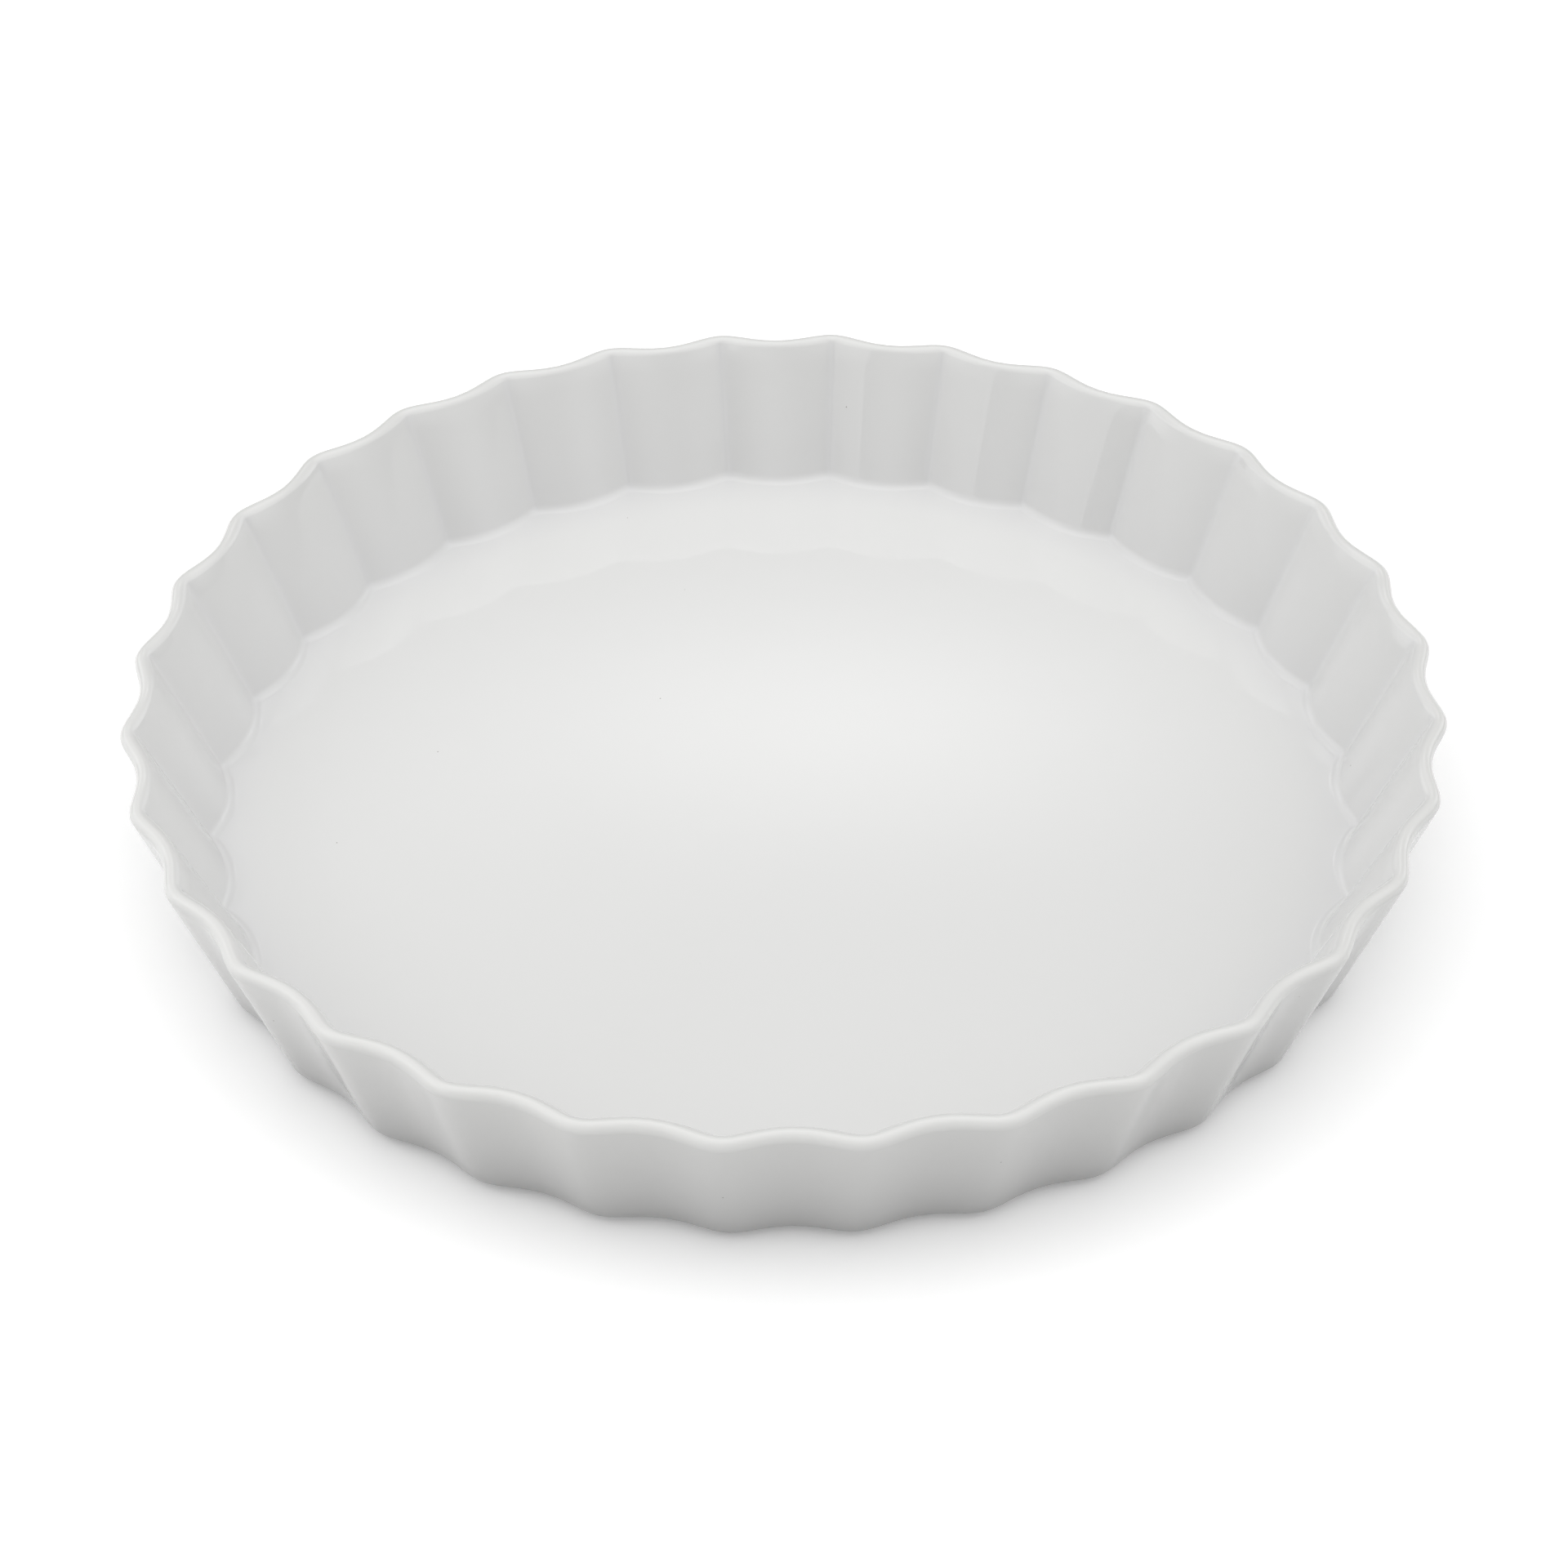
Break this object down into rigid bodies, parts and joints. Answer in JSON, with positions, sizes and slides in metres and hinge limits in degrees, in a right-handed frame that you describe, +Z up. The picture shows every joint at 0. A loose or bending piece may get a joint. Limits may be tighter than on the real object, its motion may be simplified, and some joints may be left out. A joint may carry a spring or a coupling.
{
  "type": "fluted flan dish",
  "caption": "Round, shallow flan dish in white glazed porcelain, with a fluted, flared wall, a rounded rim and a bare foot ring.",
  "frame": {"origin": "on the ground under the middle of the dish", "axes": "+Z up the dish's axis; one flute ridge points along each of +X, -X, +Y and -Y"},
  "size_m": [0.3, 0.3, 0.04],
  "materials": {
    "bare_porcelain": "matt unglazed porcelain, fine grain, wiped clean at the foot ring",
    "white_glaze": "glossy white glaze, faintly warm"
  },
  "bodies": {
    "root": {"porcelain_body": "bare_porcelain", "glaze_coat": "white_glaze", "base_glaze": "white_glaze"}
  },
  "joints": []
}
